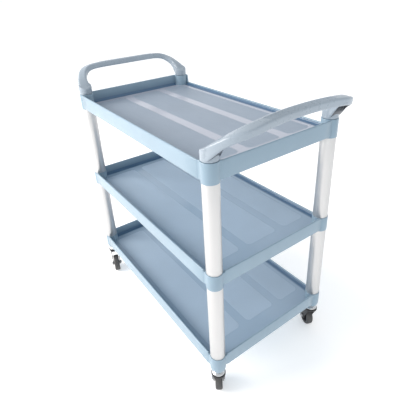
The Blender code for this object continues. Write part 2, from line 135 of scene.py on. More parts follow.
class HandleSizes(PropertyGroup):
    start: length("Start", "Height above the rim where the band's middle line starts", 0.0125)
    reach: length("Reach", "How far the bar stands out from the legs", 0.0742)
    height: length("Height", "Height of the bar above the rim", 0.0893)
    half_bar: length("Half bar", "Half of the straight part's pull along the bar", 0.175)
    width: length("Width", "Width of the band", 0.031)
    thickness: length("Thickness", "Thickness of the band", 0.0235)
    foot_width: length("Foot width", "Width of the band at its feet", 0.045)
    foot_thickness: length("Foot thickness", "Thickness of the band at its feet", 0.036)
    blend: length("Blend", "Length over which the band grows to its feet", 0.068)
    skin: length("Skin", "Thickness of the band's skin round its hollow", 0.0032)
    foot_radius: length("Foot radius", "Radius of the round foot", 0.0245)
    foot_height: length("Foot height", "Height of the round foot at its middle", 0.034)
    foot_lean: share("Foot lean", "How steeply the top of the round foot rises outward", 0.4)
    ribs: count("Ribs", "Cross ribs in the hollow of one handle", 30)
    grip_ribs: count("Grip ribs", "Fine ribs on the grip of one handle", 62)
    grip_half: length("Half grip", "Half length of the ribbed grip", 0.118)


class CasterSizes(PropertyGroup):
    wheel: length("Wheel", "Radius of the wheel", 0.0375)
    tyre_width: length("Tyre width", "Width of the tyre", 0.024)
    tyre_bore: length("Tyre bore", "Radius where the tyre sits on the hub", 0.0285)
    hub_width: length("Hub width", "Width of the hub's rim", 0.023)
    hub_ribs: count("Hub ribs", "Radial ribs on the hub", 8)
    inside: length("Fork inside", "Half of the gap between the fork's cheeks", 0.0145)
    cheek: length("Cheek", "Thickness of a cheek", 0.003)
    fork_top: length("Fork top", "Height of the fork's crown", 0.1075)
    bridge: length("Bridge", "Thickness of the fork's bridge", 0.0095)
    boss: length("Boss", "Radius of the cheek round the axle", 0.0115)
    crown: length("Crown", "Radius of the fork's round crown", 0.0235)
    trail: length("Trail", "From the swivel axis to the axle", 0.028)


class Finishes(PropertyGroup):
    plastic: color("Tray plastic", "Grey-blue of the trays' walls", (0.25, 0.355, 0.44))
    grip: color("Handle plastic", "Grey-blue of the handles", (0.32, 0.38, 0.44))
    # The hollow colour is painted shade inside the handles' hollow.
    hollow: color("Hollow", "Dark inside of the handles", (0.035, 0.045, 0.06))
    # The seam colour is painted shade where the walls meet the floors.
    seam: color("Seam", "Darker tone where the walls meet the floors", (0.035, 0.105, 0.21))
    band: color("Top band", "Smooth bands on the top floor", (0.46, 0.49, 0.57))
    panel: color("Top panel", "Grained panels on the top floor", (0.30, 0.36, 0.44))
    # The lower floors are the same plastic as the top floor; their own colours are painted light and shade
    # for lying under the tray above, the panels lighter and the bands darker than the top floor's.
    band_lower_painted_shade: color("Lower band", "Smooth bands on the middle and bottom floors", (0.32, 0.42, 0.53))
    panel_lower_painted_light: color("Lower panel", "Grained panels on the middle and bottom floors", (0.36, 0.46, 0.57))
    tube: color("Tube", "Satin anodised aluminium", (0.66, 0.655, 0.65))
    rubber: color("Tyre", "Dark grey rubber", (0.055, 0.055, 0.058))
    black: color("Fork", "Black moulded fork", (0.018, 0.018, 0.020))
    zinc: color("Zinc", "Bright zinc plate", (0.78, 0.79, 0.80))
    gloss: share("Gloss", "Roughness of the smooth plastic", 0.33)


class StudioSettings(PropertyGroup):
    floor_size: length("Floor", "Side of the studio floor", 240.0, 1.0, 400.0)
    floor_color: color("Floor colour", "Pale studio floor", (0.95, 0.95, 0.95))
    floor_glow: share("Floor glow", "How strongly the white floor is lit from below", 0.34)
    camera_place: FloatVectorProperty(
        name="Camera",
        description="Where the camera stands",
        default=(1.0916, -0.7124, 1.2616),
        size=3,
        subtype="XYZ",
    )
    lens: FloatProperty(
        name="Lens", description="Focal length in millimetres", default=32.97, min=10, max=200
    )


# Shapes


def soften(points, radius, closed=False, steps=3):
    """The outline with each corner rounded by up to the radius."""
    result = []
    total = len(points)
    for index, point in enumerate(points):
        corner = Vector(point)
        if not closed and index in (0, total - 1):
            result.append(tuple(corner))
            continue
        before = Vector(points[index - 1]) - corner
        after = Vector(points[(index + 1) % total]) - corner
        start = corner + before.normalized() * min(radius, before.length * 0.45)
        end = corner + after.normalized() * min(radius, after.length * 0.45)
        for step in range(steps + 1):
            t = step / steps
            result.append(tuple(start.lerp(corner, t).lerp(corner.lerp(end, t), t)))
    return result


def bridge(bm, ring_a, ring_b, closed=True, material=0):
    """Faces between two rings of vertices; a ring of one vertex is a pole."""
    total = max(len(ring_a), len(ring_b))
    for i in range(total if closed else total - 1):
        j = (i + 1) % total
        if len(ring_a) == 1:
            corners = (ring_a[0], ring_b[j], ring_b[i])
        elif len(ring_b) == 1:
            corners = (ring_a[i], ring_a[j], ring_b[0])
        else:
            corners = (ring_a[i], ring_a[j], ring_b[j], ring_b[i])
        bm.faces.new(corners).material_index = material


def skin_rings(bm, rings, looped=False, capped=False, material=0):
    """A skin through rings of points; looped joins the last ring to the first."""
    made = [[bm.verts.new(point) for point in points] for points in rings]
    for ring_a, ring_b in zip(made, made[1:]):
        bridge(bm, ring_a, ring_b, material=material)
    if looped:
        bridge(bm, made[-1], made[0], material=material)
    if capped:
        bm.faces.new(made[0]).material_index = material
        bm.faces.new(made[-1]).material_index = material
    return made


def lathe(bm, profile, place, steps, closed=False, material=0):
    """A turned shape: the (radius, height) profile is swept round Z, then put in its place."""
    rings = []
    for radius, height in profile:
        if radius < 1e-7:
            rings.append([place @ Vector((0.0, 0.0, height))])
            continue
        turns = [math.tau * step / steps for step in range(steps)]
        rings.append([place @ Vector((radius * math.cos(a), radius * math.sin(a), height)) for a in turns])
    skin_rings(bm, rings, looped=closed, material=material)


def rod_profile(radius, top, bottom):
    """Half the outline of a solid rod, from its axis at the top round to its axis at the bottom."""
    return [(0.0, top), (radius, top), (radius, bottom), (0.0, bottom)]


def plate(bm, outline, low, high, place, edge=0.0006, material=0):
    """A flat plate: the (x, y) outline between two heights, its edges rounded."""
    mesh = bmesh.new()
    bottom = [mesh.verts.new((x, y, low)) for x, y in outline]
    top = [mesh.verts.new((x, y, high)) for x, y in outline]
    mesh.faces.new(bottom)
    mesh.faces.new(top)
    bridge(mesh, bottom, top)
    bmesh.ops.recalc_face_normals(mesh, faces=mesh.faces)
    rims = [e for e in mesh.edges if abs(e.verts[0].co.z - e.verts[1].co.z) < 1e-9]
    bmesh.ops.bevel(mesh, geom=rims, offset=edge, segments=2, profile=0.5, affect="EDGES", clamp_overlap=True)
    bmesh.ops.transform(mesh, matrix=place, verts=mesh.verts)
    merge_into(bm, mesh, material)


def merge_into(bm, other, material=0):
    mesh = bpy.data.meshes.new("joined")
    for face in other.faces:
        face.material_index = material
    other.to_mesh(mesh)
    other.free()
    bm.from_mesh(mesh)
    bpy.data.meshes.remove(mesh)


def finish_piece(name, bm, body, materials, nodes=(), recalculate=True):
    """Makes the object, smooths it, and lets it ride on its body in place of these CAD nodes."""
    if recalculate:
        bmesh.ops.recalc_face_normals(bm, faces=bm.faces)
    mesh = bpy.data.meshes.new(name)
    bm.to_mesh(mesh)
    bm.free()
    return attach(name, mesh, body, materials, nodes)


def attach(name, mesh, body, materials, nodes=()):
    if not mesh.polygons:
        raise RuntimeError(f"{name} came out empty")
    mesh.shade_smooth()
    mesh.set_sharp_from_angle(angle=SHARP)
    if mesh.materials:
        mesh.materials.clear()
    for material in materials:
        mesh.materials.append(material)
    piece = bpy.data.objects.new(name, mesh)
    bpy.context.scene.collection.objects.link(piece)
    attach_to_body(piece, body)
    if nodes:
        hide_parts(*nodes)
    return piece


def caster_place(corner):
    """The caster's own frame: its swivel axis on Z, its wheel towards +X."""
    swivel = Vector(JOINTS[f"swivel_{corner}_turn"]["pos_m"])
    wheel = Vector(JOINTS[f"wheel_{corner}_roll"]["pos_m"])
    heading = math.atan2(wheel.y - swivel.y, wheel.x - swivel.x)
    return Matrix.Translation((swivel.x, swivel.y, 0.0)) @ Matrix.Rotation(heading, 4, "Z")


def axle_place(corner):
    """The wheel's own frame: its axle on Z."""
    sizes = bpy.context.scene.trolley_casters
    move = Matrix.Translation((sizes.trail, 0.0, WHEEL_HEIGHT))
    return caster_place(corner) @ move @ Matrix.Rotation(math.pi / 2, 4, "X")


# Materials


class Finish:
    """One material's node tree, with short calls for the nodes that it is made of."""

    def __init__(self, name):
        self.material = bpy.data.materials.new(name)
        self.material.use_nodes = True
        self.tree = self.material.node_tree
        self.shader = self.tree.nodes["Principled BSDF"]
        self.place = self.tree.nodes.new("ShaderNodeTexCoord").outputs["Object"]

    def set(self, **values):
        for key, value in values.items():
            self.shader.inputs[key.replace("_", " ")].default_value = value
        return self

    def put(self, socket, value):
        if isinstance(value, bpy.types.NodeSocket):
            self.tree.links.new(value, socket)
        elif value is not None:
            socket.default_value = value

    def math(self, operation, a, b=None, c=None, clamp=False):
        node = self.tree.nodes.new("ShaderNodeMath")
        node.operation = operation
        node.use_clamp = clamp
        for socket, value in zip(node.inputs, (a, b, c)):
            self.put(socket, value)
        return node.outputs[0]

    def stretched(self, scale):
        node = self.tree.nodes.new("ShaderNodeMapping")
        node.inputs["Scale"].default_value = scale
        self.put(node.inputs["Vector"], self.place)
        return node.outputs[0]

    def split(self):
        node = self.tree.nodes.new("ShaderNodeSeparateXYZ")
        self.put(node.inputs[0], self.place)
        return node.outputs[0], node.outputs[1], node.outputs[2]

    def attribute(self, name):
        node = self.tree.nodes.new("ShaderNodeAttribute")
        node.attribute_name = name
        return node.outputs["Fac"]

    def noise(self, scale, detail=3.0, roughness=0.5, vector=None):
        node = self.tree.nodes.new("ShaderNodeTexNoise")
        node.inputs["Scale"].default_value = scale
        node.inputs["Detail"].default_value = detail
        node.inputs["Roughness"].default_value = roughness
        self.put(node.inputs["Vector"], vector or self.place)
        return node.outputs["Fac"]

    def cells(self, scale, feature="F1", vector=None):
        node = self.tree.nodes.new("ShaderNodeTexVoronoi")
        node.feature = feature
        node.inputs["Scale"].default_value = scale
        self.put(node.inputs["Vector"], vector or self.place)
        return node.outputs["Distance"]

    def spread(self, value, low, high, to_low=0.0, to_high=1.0, smooth=False):
        node = self.tree.nodes.new("ShaderNodeMapRange")
        if smooth:
            node.interpolation_type = "SMOOTHSTEP"
        for name, number in zip(("From Min", "From Max", "To Min", "To Max"), (low, high, to_low, to_high)):
            node.inputs[name].default_value = number
        self.put(node.inputs["Value"], value)
        return node.outputs["Result"]

    def mix(self, factor, a, b, blend="MIX"):
        node = self.tree.nodes.new("ShaderNodeMix")
        node.data_type = "RGBA"
        node.blend_type = blend
        self.put(node.inputs["Factor"], factor)
        colors = [socket for socket in node.inputs if socket.type == "RGBA"]
        for socket, value in zip(colors, (a, b)):
            self.put(socket, (*value, 1.0) if isinstance(value, (tuple, list)) and len(value) == 3 else value)
        return [socket for socket in node.outputs if socket.type == "RGBA"][0]

    def toned(self, base, factor, low=0.94, high=1.05):
        """The base colour, a little darker and lighter as the factor goes from 0 to 1."""
        dark = tuple(min(1.0, channel * low) for channel in base)
        light = tuple(min(1.0, channel * high) for channel in base)
        return self.mix(factor, dark, light)

    def color(self, value):
        self.put(self.shader.inputs["Base Color"], value)
        return self

    def rough(self, value):
        self.put(self.shader.inputs["Roughness"], value)
        return self

    def bump(self, height, strength=0.5, distance=0.001):
        node = self.tree.nodes.new("ShaderNodeBump")
        node.inputs["Strength"].default_value = strength
        node.inputs["Distance"].default_value = distance
        self.put(node.inputs["Height"], height)
        if self.shader.inputs["Normal"].links:
            self.put(node.inputs["Normal"], self.shader.inputs["Normal"].links[0].from_socket)
        self.put(self.shader.inputs["Normal"], node.outputs[0])
        return self


def made_once(build):
    """Keeps each finish to one material, however many pieces ask for it."""
    kept = {}

    def finished(*options):
        if options not in kept:
            kept[options] = build(*options).material
        return kept[options]

    return finished


@made_once
def tray_plastic():
    finishes = bpy.context.scene.trolley_finishes
    finish = Finish("tray_plastic")
    clouds = finish.spread(finish.noise(7.0, 4.0), 0.35, 0.65)
    unshaded = finish.toned(finishes.plastic, clouds, 0.965, 1.02)
    # Painted shade: the fillet where the wall meets the floor, marked by the depth attribute, darkens towards
    # the seam colour.
    junction_shade = finish.spread(finish.attribute("depth"), 0.0, 1.0, 0.0, 0.85, smooth=True)
    finish.color(finish.mix(junction_shade, unshaded, tuple(finishes.seam)))
    rub = finish.noise(90.0, 5.0, 0.65)
    finish.rough(finish.spread(rub, 0.3, 0.7, finishes.gloss - 0.05, finishes.gloss + 0.07))
    finish.bump(finish.noise(1400.0, 2.0), 0.10, 0.0004)
    finish.bump(finish.noise(26.0, 2.0), 0.05, 0.002)
    return finish.set(Coat_Weight=0.25, Coat_Roughness=0.12, IOR=1.5)


@made_once
def handle_plastic():
    finishes = bpy.context.scene.trolley_finishes
    finish = Finish("handle_plastic")
    clouds = finish.spread(finish.noise(11.0, 4.0), 0.35, 0.65)
    unshaded = finish.toned(finishes.grip, clouds, 0.96, 1.02)
    # Painted shade: the hollow's inner faces, marked by the depth attribute, take the dark hollow colour.
    finish.color(finish.mix(finish.attribute("depth"), unshaded, tuple(finishes.hollow)))
    rub = finish.noise(70.0, 5.0, 0.6)
    finish.rough(finish.spread(rub, 0.3, 0.7, finishes.gloss - 0.10, finishes.gloss + 0.04))
    finish.bump(finish.noise(900.0, 2.0), 0.08, 0.0004)
    return finish.set(Coat_Weight=0.35, Coat_Roughness=0.10, IOR=1.5)


@made_once
def floor_plastic(level):
    """Grained panels with rounded corners between smooth bands, darkened along the walls by painted shade;
    the lower floors get their own colours with painted light and shade.
    """
    scene = bpy.context.scene
    finishes = scene.trolley_finishes
    pattern = scene.trolley_floor
    finish = Finish(f"floor_plastic_{level}")
    upper = level == "top"
    # Painted light and shade: below the top tray the floors take their own colours, with lighter panels and
    # darker bands than the top floor's.
    band_color = finishes.band if upper else finishes.band_lower_painted_shade
    panel_color = finishes.panel if upper else finishes.panel_lower_painted_light
    x, y, _ = finish.split()
    half = pattern.band_width / 2
    edges = (
        (-pattern.edge_side, -pattern.band_right - half),
        (-pattern.band_right + half, pattern.band_left - half),
        (pattern.band_left + half, pattern.edge_side),
    )
    middle_x = (pattern.edge_front - pattern.edge_rear) / 2
    half_x = (pattern.edge_front + pattern.edge_rear) / 2 - pattern.round
    out_x = finish.math("SUBTRACT", finish.math("ABSOLUTE", finish.math("SUBTRACT", x, middle_x)), half_x)
    nearest = None
    for low, high in edges:
        middle_y = (low + high) / 2
        half_y = (high - low) / 2 - pattern.round
        out_y = finish.math("SUBTRACT", finish.math("ABSOLUTE", finish.math("SUBTRACT", y, middle_y)), half_y)
        far_x = finish.math("MAXIMUM", out_x, 0.0)
        far_y = finish.math("MAXIMUM", out_y, 0.0)
        square_x = finish.math("MULTIPLY", far_x, far_x)
        square_y = finish.math("MULTIPLY", far_y, far_y)
        squares = finish.math("ADD", square_x, square_y)
        inside = finish.math("MINIMUM", finish.math("MAXIMUM", out_x, out_y), 0.0)
        to_edge = finish.math("ADD", finish.math("SQRT", squares), inside)
        away = finish.math("SUBTRACT", to_edge, pattern.round)
        nearest = away if nearest is None else finish.math("MINIMUM", nearest, away)
    grained = finish.spread(nearest, 0.0007, -0.0007, smooth=True)
    clouds = finish.spread(finish.noise(5.0, 5.0), 0.35, 0.65)
    band = finish.toned(band_color, clouds, 0.98, 1.02)
    panel = finish.toned(panel_color, clouds, 0.965, 1.03)
    grain = finish.math("ADD", finish.cells(760.0), finish.math("MULTIPLY", finish.noise(1500.0, 2.0), 0.6))
    speckle = finish.mix(finish.spread(grain, 0.25, 0.95), (0.95, 0.95, 0.95), (1.03, 1.03, 1.03))
    worn = finish.mix(1.0, panel, speckle, "MULTIPLY")
    # Painted shade: over the last 10 mm before the walls the floor darkens towards the seam colour.
    trays = scene.trolley_trays
    inset = trays.wall + trays.fillet + 0.012
    wall_x = finish.math("SUBTRACT", finish.math("ABSOLUTE", x), trays.half_length - inset)
    wall_y = finish.math("SUBTRACT", finish.math("ABSOLUTE", y), trays.half_width - inset)
    edge = finish.spread(finish.math("MAXIMUM", wall_x, wall_y), 0.0, 0.010, 0.0, 0.75, smooth=True)
    finish.color(finish.mix(edge, finish.mix(grained, band, worn), tuple(finishes.seam)))
    scuff = finish.noise(30.0, 6.0, 0.7, finish.stretched((0.25, 1.0, 1.0)))
    smooth_rough = finish.spread(scuff, 0.3, 0.7, 0.10, 0.20)
    grain_rough = finish.spread(scuff, 0.3, 0.7, 0.42, 0.54)
    blend = finish.math("MULTIPLY", finish.math("SUBTRACT", grain_rough, smooth_rough), grained)
    finish.rough(finish.math("ADD", smooth_rough, blend))
    finish.bump(finish.math("MULTIPLY", grain, grained), 0.22, 0.0003)
    finish.bump(grained, 0.7, 0.0004)
    return finish.set(IOR=1.5)


@made_once
def anodised_tube():
    finishes = bpy.context.scene.trolley_finishes
    finish = Finish("anodised_tube")
    lines = finish.noise(700.0, 3.0, 0.6, finish.stretched((1.0, 1.0, 0.004)))
    haze = finish.noise(9.0, 3.0)
    finish.color(finish.toned(finishes.tube, haze, 0.985, 1.01))
    finish.rough(finish.spread(lines, 0.3, 0.7, 0.34, 0.46))
    finish.bump(lines, 0.06, 0.0003)
    return finish.set(Metallic=0.85)


@made_once
def tyre_rubber():
    finishes = bpy.context.scene.trolley_finishes
    finish = Finish("tyre_rubber")
    dust = finish.spread(finish.noise(55.0, 5.0, 0.65), 0.4, 0.75)
    finish.color(finish.mix(dust, tuple(finishes.rubber), (0.12, 0.118, 0.112)))
    finish.rough(finish.spread(dust, 0.0, 1.0, 0.55, 0.8))
    finish.bump(finish.noise(1100.0, 3.0), 0.25, 0.0004)
    return finish.set(IOR=1.45)


@made_once
def hub_nylon():
    finish = Finish("hub_nylon")
    finish.color(finish.toned((0.030, 0.030, 0.033), finish.noise(60.0, 4.0), 0.8, 1.35))
    finish.rough(finish.spread(finish.noise(200.0, 4.0), 0.3, 0.7, 0.38, 0.5))
    finish.bump(finish.noise(1300.0, 2.0), 0.15, 0.0003)
    return finish


@made_once
def fork_black():
    finishes = bpy.context.scene.trolley_finishes
    finish = Finish("fork_black")
    finish.color(finish.toned(tuple(finishes.black), finish.noise(45.0, 4.0), 0.8, 1.4))
    finish.rough(finish.spread(finish.noise(260.0, 4.0), 0.3, 0.7, 0.32, 0.46))
    finish.bump(finish.noise(1500.0, 2.0), 0.18, 0.0003)
    return finish


@made_once
def bright_zinc():
    finishes = bpy.context.scene.trolley_finishes
    finish = Finish("bright_zinc")
    spangle = finish.spread(finish.cells(420.0), 0.0, 0.7)
    finish.color(finish.toned(tuple(finishes.zinc), spangle, 0.93, 1.03))
    finish.rough(finish.spread(finish.noise(240.0, 4.0), 0.3, 0.7, 0.18, 0.32))
    finish.bump(finish.noise(800.0, 3.0), 0.08, 0.0003)
    return finish.set(Metallic=1.0)


@made_once
def plain_steel():
    finish = Finish("plain_steel")
    finish.color(finish.toned((0.50, 0.50, 0.51), finish.noise(160.0, 4.0), 0.85, 1.1))
    finish.rough(finish.spread(finish.noise(500.0, 4.0), 0.3, 0.7, 0.28, 0.45))
    finish.bump(finish.noise(1200.0, 2.0), 0.10, 0.0003)
    return finish.set(Metallic=1.0)


@made_once
def socket_plastic():
    finish = Finish("socket_plastic")
    finish.color(finish.toned((0.30, 0.33, 0.36), finish.noise(80.0, 3.0), 0.93, 1.05))
    finish.rough(finish.spread(finish.noise(300.0, 3.0), 0.3, 0.7, 0.42, 0.55))
    finish.bump(finish.noise(1300.0, 2.0), 0.12, 0.0003)
    return finish


# Repeated ribs


def named_input(tree, name, kind, default=None):
    socket = tree.interface.new_socket(name=name, in_out="INPUT", socket_type=kind)
    if default is not None:
        socket.default_value = default
    return socket


def rib_tree():
    """Bars set out evenly along a guide, square to it and standing on its outward attribute."""
    tree = bpy.data.node_groups.new("ribs_along_guide", "GeometryNodeTree")
    tree.is_modifier = True
    named_input(tree, "Guide", "NodeSocketGeometry")
    named_input(tree, "Count", "NodeSocketInt", 12)
    named_input(tree, "Bar Size", "NodeSocketVector", (0.002, 0.01, 0.01))
    named_input(tree, "Lift", "NodeSocketFloat", 0.0)
    named_input(tree, "Slant", "NodeSocketFloat", 0.0)
    named_input(tree, "Finish", "NodeSocketMaterial")
    tree.interface.new_socket(name="Ribs", in_out="OUTPUT", socket_type="NodeSocketGeometry")
    nodes = tree.nodes
    links = tree.links
    given = nodes.new("NodeGroupInput").outputs
    result = nodes.new("NodeGroupOutput").inputs
    to_curve = nodes.new("GeometryNodeMeshToCurve")
    links.new(given["Guide"], to_curve.inputs["Mesh"])
    even = nodes.new("GeometryNodeResampleCurve")
    links.new(to_curve.outputs["Curve"], even.inputs["Curve"])
    links.new(given["Count"], even.inputs["Count"])
    outward = nodes.new("GeometryNodeInputNamedAttribute")
    outward.data_type = "FLOAT_VECTOR"
    outward.inputs["Name"].default_value = "outward"
    raised = nodes.new("ShaderNodeVectorMath")
    raised.operation = "SCALE"
    links.new(outward.outputs["Attribute"], raised.inputs[0])
    links.new(given["Lift"], raised.inputs["Scale"])
    lifted = nodes.new("GeometryNodeSetPosition")
    links.new(even.outputs["Curve"], lifted.inputs["Geometry"])
    links.new(raised.outputs["Vector"], lifted.inputs["Offset"])
    along = nodes.new("FunctionNodeAlignRotationToVector")
    along.axis = "X"
    links.new(nodes.new("GeometryNodeInputTangent").outputs["Tangent"], along.inputs["Vector"])
    upright = nodes.new("FunctionNodeAlignRotationToVector")
    upright.axis = "Z"
    upright.pivot_axis = "X"
    links.new(along.outputs["Rotation"], upright.inputs["Rotation"])
    links.new(outward.outputs["Attribute"], upright.inputs["Vector"])
    turn = nodes.new("ShaderNodeCombineXYZ")
    links.new(given["Slant"], turn.inputs["Z"])
    slanted = nodes.new("FunctionNodeRotateRotation")
    slanted.rotation_space = "LOCAL"
    links.new(upright.outputs["Rotation"], slanted.inputs["Rotation"])
    links.new(turn.outputs["Vector"], slanted.inputs["Rotate By"])
    bar = nodes.new("GeometryNodeMeshCube")
    links.new(given["Bar Size"], bar.inputs["Size"])
    spread = nodes.new("GeometryNodeInstanceOnPoints")
    links.new(lifted.outputs["Geometry"], spread.inputs["Points"])
    links.new(bar.outputs["Mesh"], spread.inputs["Instance"])
    links.new(slanted.outputs["Rotation"], spread.inputs["Rotation"])
    real = nodes.new("GeometryNodeRealizeInstances")
    links.new(spread.outputs["Instances"], real.inputs["Geometry"])
    painted = nodes.new("GeometryNodeSetMaterial")
    links.new(real.outputs["Geometry"], painted.inputs["Geometry"])
    links.new(given["Finish"], painted.inputs["Material"])
    links.new(painted.outputs["Geometry"], result["Ribs"])
    return tree


def ribs_along(name, guides, settings):
    """The mesh that the rib tree makes along guides, each a (points, outward vectors, closed) set."""
    mesh = bpy.data.meshes.new(name + "_guide")
    points = []
    edges = []
    outward = []
    for line, normals, closed in guides:
        first = len(points)
        points += line
        outward += normals
        edges += [(first + i, first + i + 1) for i in range(len(line) - 1)]
        if closed:
            edges.append((len(points) - 1, first))
    mesh.from_pydata(points, edges, [])
    held = mesh.attributes.new("outward", "FLOAT_VECTOR", "POINT")
    held.data.foreach_set("vector", [value for normal in outward for value in normal])
    guide = bpy.data.objects.new(name + "_guide", mesh)
    bpy.context.scene.collection.objects.link(guide)
    tree = bpy.data.node_groups.get("ribs_along_guide") or rib_tree()
    ribs = guide.modifiers.new("ribs", "NODES")
    ribs.node_group = tree
    for item in tree.interface.items_tree:
        if item.item_type == "SOCKET" and item.in_out == "INPUT" and item.name in settings:
            ribs[item.identifier] = settings[item.name]
    bpy.context.view_layer.update()
    made = bpy.data.meshes.new_from_object(guide.evaluated_get(bpy.context.evaluated_depsgraph_get()))
    made.name = name
    guide.modifiers.remove(ribs)
    bpy.data.objects.remove(guide, do_unlink=True)
    return made


# Trays


def tray_levels():
    """(name, rim, base, seat of the legs above, end of the collars) of each tray."""
    sizes = bpy.context.scene.trolley_trays
    top_base = sizes.rim_top - sizes.depth_top
    middle_base = sizes.rim_middle - sizes.depth_lower
    bottom_base = sizes.rim_bottom - sizes.depth_lower
    return (
        ("top", sizes.rim_top, top_base, sizes.rim_top, top_base - 0.006),
        ("middle", sizes.rim_middle, middle_base, sizes.rim_middle - 0.005, middle_base - 0.008),
        ("bottom", sizes.rim_bottom, bottom_base, sizes.rim_bottom - 0.006, 0.127),
    )


def wall_section(top, base, sizes):
    """(inset, height) from the floor, up the wall's inner face, over its rim and down to the underside."""
    floor = base + sizes.floor_top
    under = base + sizes.floor_under
    bead = sizes.wall / 2
    fillet = min(sizes.fillet, (top - bead - floor) * 0.85)
    points = [(sizes.wall + sizes.fillet + 0.0025, floor)]
    for step in range(7):
        turn = math.pi / 2 * step / 6
        points.append((sizes.wall + fillet * (1 - math.sin(turn)), floor + fillet * (1 - math.cos(turn))))
    points.append((sizes.wall, floor + fillet + (top - bead - floor - fillet) * 0.45))
    points.append((sizes.wall, top - bead - 0.0006))
    for step in range(9):
        turn = math.pi * step / 8
        points.append((bead + bead * math.cos(turn), top - bead + bead * math.sin(turn)))
    points.append((0.0, top - bead - 0.0006))
    points += [(0.0, base + 0.0022), (0.0002, base + 0.0014), (0.0008, base + 0.0005), (0.0016, base)]
    points += [(sizes.wall - 0.0012, base), (sizes.wall - 0.0004, base + 0.0004), (sizes.wall, base + 0.0012)]
    points += [(sizes.wall + 0.0005, under - 0.0005), (sizes.wall + 0.0012, under)]
    points.append((sizes.wall + sizes.fillet + 0.0025, under))
    return points


def wall_stations(rim, lip, hidden, sizes):
    """((x, y), outward normal, wall height) round the tray. Inside the collars the wall stays hidden."""
    centre_x = sizes.half_length - sizes.corner
    centre_y = sizes.half_width - sizes.corner
    stations = []

    def straight(start, end, normal, top, room):
        """Along one side; the wall drops to its hidden height within this distance of the ends."""
        start = Vector(start)
        end = Vector(end)
        run = (end - start).length
        ease = 0.0028
        places = [0.0, room]
        places += [room + ease * step / 4 for step in range(1, 5)]
        inner = 14
        places += [room + ease + (run - 2 * (room + ease)) * step / inner for step in range(1, inner)]
        places += [run - place for place in reversed(places[:6])]
        for place in places:
            near = min(place, run - place)
            t = min(1.0, max(0.0, (near - room) / ease))
            t = t * t * (3 - 2 * t)
            crease = min(1.0, max(0.0, (near - room + 0.004) / 0.0068))
            outward = Vector(normal)
            spot = start.lerp(end, place / run) - outward * sizes.crease * (1 - crease * crease)
            stations.append((spot, outward, hidden + (top - hidden) * t))

    def corner(x, y, first):
        for step in range(1, 8):
            turn = math.radians(first + 90 * step / 8)
            normal = Vector((math.cos(turn), math.sin(turn)))
            stations.append((Vector((x, y)) + normal * sizes.corner, normal, hidden))

    long_room = centre_x - (LEG_X - 0.018)
    end_room = centre_y - (LEG_Y - 0.021)
    open_room = centre_x - (LEG_X - 0.0225)
    low = -sizes.half_width
    high = sizes.half_width
    far = sizes.half_length
    straight((-centre_x, low), (centre_x, low), (0, -1), rim, long_room)
    corner(centre_x, -centre_y, -90)
    straight((far, -centre_y), (far, centre_y), (1, 0), rim, end_room)
    corner(centre_x, centre_y, 0)
    straight((centre_x, high), (-centre_x, high), (0, 1), lip, open_room)
    corner(-centre_x, centre_y, 90)
    straight((-far, centre_y), (-far, -centre_y), (-1, 0), rim, end_room)
    corner(-centre_x, -centre_y, 180)
    return stations


def collar_profile(name, seat, end, sizes):
    """The closed (radius, height) outline of a corner collar."""
    radius = sizes.collar
    bore = 0.0169
    if name == "bottom":
        waist = [(radius, end + 0.0165)]
        for step in range(1, 7):
            turn = math.pi / 2 * step / 6
            waist.append((radius - 0.0050 * (1 - math.cos(turn)), end + 0.0165 - 0.0165 * math.sin(turn)))
        outer = soften([(bore, seat), (radius, seat), waist[0]], 0.0011) + waist[1:]
        return outer + [(bore, end)]
    return soften([(bore, seat), (radius, seat), (radius, end), (bore, end)], 0.0009, closed=True)


class TROLLEY_OT_trays(Operator):
    """Moulds the three trays, each with its walls, low lip, patterned floor and corner collars"""

    bl_idname = "trolley.trays"
    bl_label = "Trays"

    def execute(self, context):
        sizes = context.scene.trolley_trays
        for name, rim, base, seat, end in tray_levels():
            materials = [tray_plastic(), floor_plastic(name)]
            bm = bmesh.new()
            depth = bm.verts.layers.float.new("depth")
            lip = base + sizes.floor_top + sizes.lip
            hidden = rim if name == "top" else seat - 0.0012
            rings = []
            for place, normal, top in wall_stations(rim, lip, hidden, sizes):
                section = wall_section(top, base, sizes)
                rings.append([(*(place - normal * inset), height) for inset, height in section])
            made = skin_rings_open(bm, rings)
            # Painted shade: the depth attribute marks the fillet at the floor fully and fades up the wall,
            # for the seam colour's darkening.
            for ring in made:
                for index, vertex in enumerate(ring[:9]):
                    vertex[depth] = (1.0, 0.55, 0.30)[max(0, index - 6)]
            floor = bm.faces.new([ring[0] for ring in made])
            floor.material_index = 1
            bm.faces.new([ring[-1] for ring in made])
            bmesh.ops.recalc_face_normals(bm, faces=bm.faces)
            mark_floor(bm, base + sizes.floor_top)
            for side_x, side_y in CORNERS.values():
                place = Matrix.Translation((side_x * LEG_X, side_y * LEG_Y, 0.0))
                collar = bmesh.new()
                lathe(collar, collar_profile(name, seat, end, sizes), place, sizes.collar_steps, closed=True)
                bmesh.ops.recalc_face_normals(collar, faces=collar.faces)
                merge_into(bm, collar)
            nodes = (f"tray_{name}",)
            finish_piece(
                f"{name}_tray", bm, "chassis", materials, nodes, recalculate=False
            )
        return {"FINISHED"}


def skin_rings_open(bm, sections):
    """A skin over open sections set side by side round a closed path."""
    made = [[bm.verts.new(point) for point in points] for points in sections]
    for section_a, section_b in zip(made, made[1:] + made[:1]):
        for i in range(len(section_a) - 1):
            bm.faces.new((section_a[i], section_b[i], section_b[i + 1], section_a[i + 1]))
    return made


def mark_floor(bm, height):
    """Gives the flat upper face of the floor the patterned finish."""
    for face in bm.faces:
        if face.normal.z > 0.999 and abs(face.calc_center_median().z - height) < 1e-5:
            face.material_index = 1


# Legs


